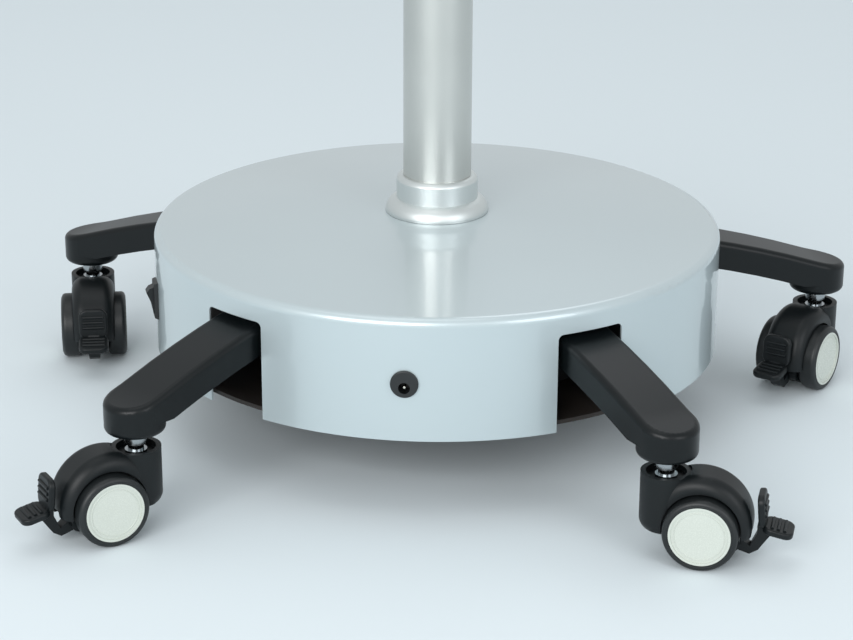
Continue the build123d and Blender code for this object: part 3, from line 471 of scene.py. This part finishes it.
def rounded_bar(name: str, size: Point, radius: float) -> bpy.types.Mesh:
    """A block with rounded edges, centred on the origin.

    Args:
        name: the mesh's name.
        size: its length, width and height.
        radius: rounding of the edges.

    Returns:
        The closed mesh.
    """
    mesh = bpy.data.meshes.new(name)
    shape = bmesh.new()
    bmesh.ops.create_cube(shape, size=1.0, matrix=Matrix.Diagonal((*size, 1.0)))
    bmesh.ops.bevel(shape, geom=shape.edges[:], offset=radius, segments=3, affect="EDGES", profile=0.5)
    shape.to_mesh(mesh)
    shape.free()
    return finish_mesh(mesh, 30.0)


def repeat_tree(layout: Layout) -> bpy.types.NodeTree:
    """Build the Geometry Nodes tree that repeats its own piece in a ring or in a row.

    Args:
        layout: a ring about Z, or a row along X.

    Returns:
        The tree, with the inputs Count, Spacing, Tilt and Material.
    """
    tree = bpy.data.node_groups.new(f"repeat_in_{layout.value}", "GeometryNodeTree")
    tree.interface.new_socket(name="Piece", in_out="INPUT", socket_type="NodeSocketGeometry")
    for name, kind in (("Count", "NodeSocketInt"), ("Spacing", "NodeSocketFloat"),
                       ("Tilt", "NodeSocketFloat"), ("Material", "NodeSocketMaterial")):
        tree.interface.new_socket(name=name, in_out="INPUT", socket_type=kind)
    tree.interface.new_socket(name="Pieces", in_out="OUTPUT", socket_type="NodeSocketGeometry")
    given = add_node(tree, "NodeGroupInput").outputs
    number = add_node(tree, "GeometryNodeInputIndex").outputs[0]
    if layout is Layout.RING:
        share = add_node(tree, "ShaderNodeMath", {"operation": "DIVIDE"},
                         {0: number, 1: given["Count"]}).outputs[0]
        angle = add_node(tree, "ShaderNodeMath", {"operation": "MULTIPLY", 1: tau}, {0: share}).outputs[0]
        across = add_node(tree, "ShaderNodeMath", {"operation": "COSINE"}, {0: angle}).outputs[0]
        along = add_node(tree, "ShaderNodeMath", {"operation": "SINE"}, {0: angle}).outputs[0]
        heading = add_node(tree, "ShaderNodeCombineXYZ", None, {0: across, 1: along}).outputs[0]
        place = add_node(tree, "ShaderNodeVectorMath", {"operation": "SCALE"},
                         {0: heading, "Scale": given["Spacing"]}).outputs[0]
        turn = add_node(tree, "ShaderNodeCombineXYZ", None, {1: given["Tilt"], 2: angle}).outputs[0]
    else:
        last = add_node(tree, "ShaderNodeMath", {"operation": "SUBTRACT", 1: 1.0},
                        {0: given["Count"]}).outputs[0]
        middle = add_node(tree, "ShaderNodeMath", {"operation": "MULTIPLY", 1: 0.5},
                          {0: last}).outputs[0]
        step = add_node(tree, "ShaderNodeMath", {"operation": "SUBTRACT"},
                        {0: number, 1: middle}).outputs[0]
        along = add_node(tree, "ShaderNodeMath", {"operation": "MULTIPLY"},
                         {0: step, 1: given["Spacing"]}).outputs[0]
        place = add_node(tree, "ShaderNodeCombineXYZ", None, {0: along}).outputs[0]
        turn = add_node(tree, "ShaderNodeCombineXYZ", None, {1: given["Tilt"]}).outputs[0]
    spots = add_node(tree, "GeometryNodePoints", None,
                     {"Count": given["Count"], "Position": place}).outputs[0]
    copies = add_node(tree, "GeometryNodeInstanceOnPoints", None,
                      {"Points": spots, "Instance": given["Piece"], "Rotation": turn}).outputs[0]
    real = add_node(tree, "GeometryNodeRealizeInstances", None, {"Geometry": copies}).outputs[0]
    dressed = add_node(tree, "GeometryNodeSetMaterial", None,
                       {"Geometry": real, "Material": given["Material"]}).outputs[0]
    add_node(tree, "NodeGroupOutput", None, {0: dressed})
    return tree


def repeated(piece: bpy.types.Mesh, layout: Layout, count: int, spacing: float, tilt: float,
             material: bpy.types.Material) -> bpy.types.Mesh:
    """Repeat a small mesh with Geometry Nodes and keep the result as a plain mesh.

    Args:
        piece: the template.
        layout: ring or row.
        count: number of copies.
        spacing: radius of the ring, or pitch of the row.
        tilt: lean of each copy about its own Y axis, in radians.
        material: the finish of the copies.

    Returns:
        One mesh with every copy.
    """
    holder = bpy.data.objects.new(piece.name, piece)
    bpy.context.scene.collection.objects.link(holder)
    modifier = holder.modifiers.new("repeat", "NODES")
    tree = bpy.data.node_groups.get(f"repeat_in_{layout.value}") or repeat_tree(layout)
    values = {"Count": count, "Spacing": spacing, "Tilt": tilt, "Material": material}
    for socket in tree.interface.items_tree:
        if socket.in_out == "INPUT" and socket.name in values:
            values[socket.identifier] = values.pop(socket.name)
    modifier.node_group = tree
    for identifier, value in values.items():
        modifier[identifier] = value
    holder.update_tag()
    evaluated = holder.evaluated_get(bpy.context.evaluated_depsgraph_get())
    result = bpy.data.meshes.new_from_object(evaluated)
    holder.modifiers.remove(modifier)
    bpy.data.objects.remove(holder)
    result.set_sharp_from_angle(angle=radians(38))
    return result


def joined(name: str, meshes: list[bpy.types.Mesh]) -> bpy.types.Mesh:
    """Gather several meshes of one material into one.

    Args:
        name: the new mesh's name.
        meshes: the meshes to gather.

    Returns:
        The gathered mesh.
    """
    shape = bmesh.new()
    for mesh in meshes:
        shape.from_mesh(mesh)
    whole = bpy.data.meshes.new(name)
    shape.to_mesh(whole)
    shape.free()
    whole.shade_smooth()
    whole.set_sharp_from_angle(angle=radians(38))
    return whole


def facing(place: Vector, outward: Vector, up: Vector = Vector((0, 0, 1))) -> Matrix:
    """Placement whose Z points outwards and whose Y is as near to up as it can be.

    Args:
        place: where the origin goes.
        outward: direction of the new Z.
        up: direction that the new Y leans to.

    Returns:
        The placement.
    """
    side = up.cross(outward).normalized()
    turn = Matrix((side, outward.cross(side).normalized(), outward.normalized())).transposed()
    return Matrix.Translation(place) @ turn.to_4x4()


@dataclass
class SubAssembly:
    """A group of visible pieces around the CAD nodes of one part of the lamp.

    Attributes:
        pieces: the finished pieces by name.
    """

    frame: dict
    pieces: dict[str, bpy.types.Object] = field(default_factory=dict)

    def joint_place(self, name: str) -> Vector:
        """Where a joint's axis passes at rest.

        Args:
            name: the joint's name.

        Returns:
            The point in metres.
        """
        joints = self.frame["record"]["behaviour"]["joints"]
        return Vector(next(joint for joint in joints if joint["name"] == name)["pos_m"])

    def box(self, node: str) -> tuple[Vector, Vector]:
        """Lowest and highest corner of a CAD node."""
        low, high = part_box(node)
        return Vector(low), Vector(high)

    def surface(self, node: str, above: Vector) -> tuple[Vector, Vector]:
        """Find the CAD surface straight below a point.

        Args:
            node: the CAD node.
            above: a point over it.

        Returns:
            The place on the surface and the surface's outward direction.
        """
        hit, place, normal, _ = self.frame["nodes"][node].ray_cast(above, Vector((0, 0, -1)))
        if not hit:
            raise ValueError(f"nothing of {node} under {tuple(above)}")
        return place, normal

    def show(self, name: str, mesh: bpy.types.Mesh, finish: Finish, body: str, slot: str,
             place: Matrix | None = None) -> bpy.types.Object:
        """Put a finished mesh in the scene on its body.

        Args:
            name: the piece's name.
            mesh: its mesh.
            finish: its finish.
            body: the CAD body that it moves with.
            slot: not used.
            place: where the mesh goes, or None where it is in place.

        Returns:
            The piece.
        """
        if place is not None:
            mesh.transform(place)
        mesh.materials.clear()
        mesh.materials.append(material_of(finish))
        piece = bpy.data.objects.new(name, mesh)
        bpy.context.scene.collection.objects.link(piece)
        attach(piece, body)
        self.pieces[name] = piece
        log.info("made %s on %s", name, body)
        return piece


def turned_sideways(mesh: bpy.types.Mesh) -> bpy.types.Mesh:
    """Lay a mesh that stands on Z along X."""
    mesh.transform(Matrix.Rotation(radians(90), 4, "Y"))
    return mesh


def material_of(finish: Finish) -> bpy.types.Material:
    """The material of a finish, made once."""
    return bpy.data.materials.get(finish.name) or finish.build()


@dataclass
class Castors(SubAssembly):
    """Fine detail of the five twin-wheel castors."""

    count: int = 5
    ring_radius: float = 16.6 * MM
    ring_wire: float = 0.35 * MM
    tyre_line_radius: float = 21.7 * MM
    tyre_line_wire: float = 0.3 * MM
    cap_dish: float = 0.7 * MM

    def build(self) -> None:
        """Add the moulded rings of every wheel."""
        for number in range(1, self.count + 1):
            for side in "ab":
                hub = self.joint_place(f"wheel_spin_{number}_{side}")
                low, high = self.box(f"castor_cap_{number}_{side}")
                outward = Vector(((low + high) / 2 - hub)[:2]).to_3d().normalized()
                cap = self.frame["nodes"][f"castor_cap_{number}_{side}"].data
                reach = max((vertex.co - hub).dot(outward) for vertex in cap.vertices)
                wheel = f"wheel_{number}_{side}"
                ring = turned("cap_ring", ring_outline(self.ring_radius, self.ring_wire))
                self.show(f"castor_cap_ring_{number}_{side}", ring, CAP_ABS, wheel, "cap_white",
                          facing(hub + outward * (reach - self.cap_dish), outward))
                line = turned("tyre_line", ring_outline(self.tyre_line_radius, self.tyre_line_wire))
                self.show(f"castor_tyre_line_{number}_{side}", line, TREAD, wheel, "castor_tread",
                          facing(hub + outward * reach, outward))


@dataclass
class Power(SubAssembly):
    """Small parts on the charger's circuit board."""

    board_thickness: float = 1.6 * MM
    part_size: Point = (2.4 * MM, 1.4 * MM, 1.0 * MM)
    part_edge: float = 0.2 * MM
    part_pitch: float = 4.0 * MM
    row_count: int = 7
    row_reaches: Point = (-13.0 * MM, 13.0 * MM)

    def build(self) -> None:
        """Lay two rows of surface-mounted parts along the board's edges."""
        low, high = self.box("charger_board")
        middle = (low + high) / 2
        outward = Vector((middle.x, middle.y, 0)).normalized()
        tangent = Vector((-outward.y, outward.x, 0))
        rows = []
        for reach in self.row_reaches:
            row = repeated(rounded_bar("resistor", self.part_size, self.part_edge), Layout.ROW,
                           self.row_count, self.part_pitch, 0.0, material_of(SOCKET_ABS))
            top = Vector((middle.x, middle.y, low.z + self.board_thickness + self.part_size[2] / 2))
            row.transform(Matrix.Translation(top + outward * reach)
                          @ Matrix((tangent, -outward, Vector((0, 0, 1)))).transposed().to_4x4())
            rows.append(row)
        self.show("board_resistors", joined("board_resistors", rows), SOCKET_ABS, "base", "socket_black")


@dataclass
class Arm(SubAssembly):
    """Pivot covers and trim ring of the knuckle, and the insert of the height clamp's knob."""

    cover_radius: float = 9.5 * MM
    cover_height: float = 2.6 * MM
    hollow_radius: float = 3.4 * MM
    hollow_depth: float = 1.6 * MM
    insert_radius: float = 9.0 * MM
    insert_height: float = 0.9 * MM
    insert_sink: float = 0.2 * MM
    neck_ring_wire: float = 0.9 * MM
    neck_ring_rise: float = 6 * MM

    def pivot_cover(self, name: str) -> bpy.types.Mesh:
        """A domed pivot cover with a round key hollow.

        Args:
            name: the mesh's name.

        Returns:
            The mesh, seated on Z = 0.
        """
        radius, height = self.cover_radius, self.cover_height
        return turned(name, [(0.0, 0.0), (radius, 0.0), (radius, height * 0.55),
                             (radius * 0.93, height * 0.85), (radius * 0.8, height),
                             (self.hollow_radius, height), (self.hollow_radius, height - self.hollow_depth),
                             (0.0, height - self.hollow_depth)])

    def build(self) -> None:
        """Add the pieces at the knuckle and the clamp."""
        pin = self.joint_place("arm_tilt")
        low, high = self.box("arm_knuckle")
        for label, face in (("front", low.y), ("back", high.y)):
            outward = Vector((0, face, 0)).normalized()
            self.show(f"arm_pivot_cover_{label}", self.pivot_cover("pivot_cover"), NYLON, "knuckle",
                      "castor_nylon", facing(Vector((pin.x, face, pin.z)), outward))
        knob = self.joint_place("clamp_turn")
        front = self.box("clamp_knob")[0].y
        radius, height = self.insert_radius, self.insert_height
        insert = turned("knob_insert", [(0.0, -self.insert_sink), (radius, -self.insert_sink),
                                        (radius, height * 0.6), (radius * 0.9, height), (0.0, height)])
        self.show("knob_insert", insert, SATIN_ALUMINIUM, "knob", "satin_aluminium",
                  facing(Vector((knob.x, front, knob.z)), Vector((0, -1, 0))))
        neck_radius = (high.x - low.x) / 2
        ring = turned("trim_ring",
                      ring_outline(neck_radius, self.neck_ring_wire, low.z + self.neck_ring_rise))
        self.show("knuckle_trim_ring", ring, SATIN_ALUMINIUM, "knuckle", "satin_aluminium")


@dataclass
class LampHead(SubAssembly):
    """Light sources, reflectors, gasket, vents, control pad and grip of the lamp's head."""

    led_rings: tuple[tuple[int, float], ...] = ((1, 0.0), (6, 23.0 * MM), (12, 46.0 * MM),
                                                (18, 69.0 * MM), (24, 92.0 * MM))
    cup_radius: float = 9.6 * MM
    cup_root: float = 3.2 * MM
    cup_height: float = 10.0 * MM
    cup_wall: float = 0.8 * MM
    cup_steps: int = 6
    cup_sides: int = 24
    die_radius: float = 2.3 * MM
    die_edge: float = 0.8 * MM
    die_shoulder: float = 1.8 * MM
    die_height: float = 2.3 * MM
    die_sides: int = 16
    vent_count: int = 36
    vent_radius: float = 88.0 * MM
    vent_size: Point = (15.0 * MM, 2.4 * MM, 2.0 * MM)
    vent_edge: float = 0.9 * MM
    pad_radius: float = 24.0 * MM
    pad_height: float = 2.2 * MM
    key_count: int = 4
    key_circle: float = 13.5 * MM
    key_radius: float = 4.2 * MM
    key_edge: float = 0.5 * MM
    key_shoulder: float = 0.9 * MM
    key_height: float = 1.0 * MM
    key_sides: int = 32
    grip_count: int = 9
    grip_pitch: float = 5.0 * MM
    grip_clearance: float = 0.2 * MM
    grip_wire: float = 1.1 * MM
    grip_sides: int = 32
    handle_radius: float = 6.5 * MM
    handle_rise: float = 15.5 * MM
    gasket_width: float = 2.4 * MM
    gasket_drop: float = 0.9 * MM
    gasket_sides: int = 128
    knob_radius: float = 12.0 * MM
    knob_height: float = 12.0 * MM
    knob_ribs: int = 24
    knob_rib_width: float = 1.4 * MM
    knob_rib_edge: float = 0.4 * MM
    knob_rib_share: float = 0.62
    knob_rib_middle: float = 0.48
    probe_rise: float = 0.05

    def build_lights(self, centre: Vector) -> None:
        """Hang the reflector cups and the lit chips under the board.

        Args:
            centre: middle of the board's lower face.
        """
        outer, root, height, wall = self.cup_radius, self.cup_root, self.cup_height, self.cup_wall
        shares = [n / self.cup_steps for n in range(self.cup_steps + 1)]
        inside = [(root + (outer - wall - root) * sqrt(s), -height * s) for s in shares]
        outside = [(root + wall + (outer - root - wall) * sqrt(s), -height * s) for s in reversed(shares)]
        cups, dies = [], []
        for count, radius in self.led_rings:
            cup = turned("reflector_cup", inside + outside, self.cup_sides)
            cups.append(repeated(cup, Layout.RING, count, radius, 0.0, material_of(REFLECTOR)))
            die = turned("light_chip", [(0.0, 0.0), (self.die_radius, 0.0),
                                        (self.die_radius, -self.die_edge),
                                        (self.die_radius * 0.7, -self.die_shoulder),
                                        (0.0, -self.die_height)], self.die_sides)
            dies.append(repeated(die, Layout.RING, count, radius, 0.0, material_of(PHOSPHOR)))
        place = Matrix.Translation(centre)
        self.show("led_reflectors", joined("led_reflectors", cups), REFLECTOR, "head", "satin_aluminium",
                  place)
        self.show("led_chips", joined("led_chips", dies), PHOSPHOR, "head", "led_board_white", place)

    def build_back(self, centre: Vector) -> None:
        """Add the vent ribs and the control pad to the domed back.

        Args:
            centre: a point above the middle of the head.
        """
        spot, normal = self.surface("head_shell", centre + Vector((0, self.vent_radius, 0)))
        lean = atan2(Vector(normal[:2]).length, normal.z)
        ribs = repeated(rounded_bar("vent_rib", self.vent_size, self.vent_edge), Layout.RING, self.vent_count,
                        self.vent_radius, lean, material_of(HEAD_ABS))
        self.show("head_vent_ribs", ribs, HEAD_ABS, "head", "head_white",
                  Matrix.Translation((centre.x, centre.y, spot.z)))
        crown, _ = self.surface("head_shell", centre)
        radius, height = self.pad_radius, self.pad_height
        pad = turned("control_pad", [(0.0, -height), (radius, -height), (radius, height * 0.4),
                                     (radius * 0.95, height * 0.85), (radius * 0.88, height), (0.0, height)])
        self.show("control_pad", pad, SOCKET_ABS, "head", "socket_black", Matrix.Translation(crown))
        key = turned("pad_key", [(0.0, 0.0), (self.key_radius, 0.0), (self.key_radius, self.key_edge),
                                 (self.key_radius * 0.85, self.key_shoulder), (0.0, self.key_height)],
                     self.key_sides)
        keys = repeated(key, Layout.RING, self.key_count, self.key_circle, 0.0, material_of(SILICONE))
        self.show("pad_keys", keys, SILICONE, "head", "socket_black",
                  Matrix.Translation(crown + Vector((0, 0, height))))

    def build_grip(self, centre: Vector, height: float) -> None:
        """Slip soft rings over the handle.

        Args:
            centre: middle of the head.
            height: height of the handle's own axis.
        """
        reach = self.box("head_shell")[1].x - self.handle_radius
        outline = ring_outline(self.handle_radius + self.grip_clearance, self.grip_wire)
        ring = finish_mesh(turned_sideways(turned("grip_ring", outline, self.grip_sides)))
        row = repeated(ring, Layout.ROW, self.grip_count, self.grip_pitch, 0.0, material_of(SILICONE))
        self.show("handle_grip", row, SILICONE, "head", "socket_black",
                  Matrix.Translation((reach, centre.y, height)) @ Matrix.Rotation(radians(90), 4, "Z"))

    def build_tilt_knobs(self, axis: Vector) -> None:
        """Put a ribbed friction knob on each side of the yoke.

        Args:
            axis: middle of the tilt axis.
        """
        low, high = self.box("head_yoke")
        radius, height = self.knob_radius, self.knob_height
        for label, face in (("front", low.y), ("back", high.y)):
            outward = Vector((0, face - axis.y, 0)).normalized()
            body = turned("tilt_knob", [(0.0, 0.0), (radius * 0.9, 0.0), (radius, height * 0.15),
                                        (radius, height * 0.8), (radius * 0.9, height),
                                        (radius * 0.6, height), (radius * 0.55, height * 0.92),
                                        (0.0, height * 0.92)])
            size = (self.knob_rib_width, self.knob_rib_width, height * self.knob_rib_share)
            rib = rounded_bar("tilt_knob_rib", size, self.knob_rib_edge)
            ribs = repeated(rib, Layout.RING, self.knob_ribs, radius, 0.0, material_of(NYLON))
            ribs.transform(Matrix.Translation((0, 0, height * self.knob_rib_middle)))
            self.show(f"tilt_knob_{label}", joined("tilt_knob", [body, ribs]), NYLON, "yoke", "castor_nylon",
                      facing(Vector((axis.x, face, axis.z)), outward))

    def build(self) -> None:
        """Add every piece of the head."""
        board_low, board_high = self.box("led_board")
        lens_low, lens_high = self.box("head_lens")
        middle = (board_low + board_high) / 2
        self.build_lights(Vector((middle.x, middle.y, board_low.z)))
        self.build_back(Vector((middle.x, middle.y, self.box("head_shell")[1].z + self.probe_rise)))
        self.build_grip(middle, lens_low.z + self.handle_rise)
        self.build_tilt_knobs(self.joint_place("head_tilt"))
        lens_radius = (lens_high.x - lens_low.x) / 2
        width = self.gasket_width
        gasket = turned("lens_gasket", [(lens_radius, lens_low.z), (lens_radius - width, lens_low.z),
                                        (lens_radius - width * 0.8, lens_low.z - self.gasket_drop),
                                        (lens_radius, lens_low.z - self.gasket_drop)], self.gasket_sides)
        self.show("lens_gasket", gasket, SILICONE, "head", "socket_black",
                  Matrix.Translation((middle.x, middle.y, 0)))


def main() -> None:
    """Build the studio and every sub-assembly in order."""
    logging.basicConfig(level=logging.INFO, format="%(name)s: %(message)s")
    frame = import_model()
    Studio().build()
    dress_nodes(frame)
    for assembly in (Castors(frame), Power(frame), Arm(frame), LampHead(frame)):
        assembly.build()
        log.info("%s has %d pieces", type(assembly).__name__, len(assembly.pieces))


if __name__ == "__main__":
    main()
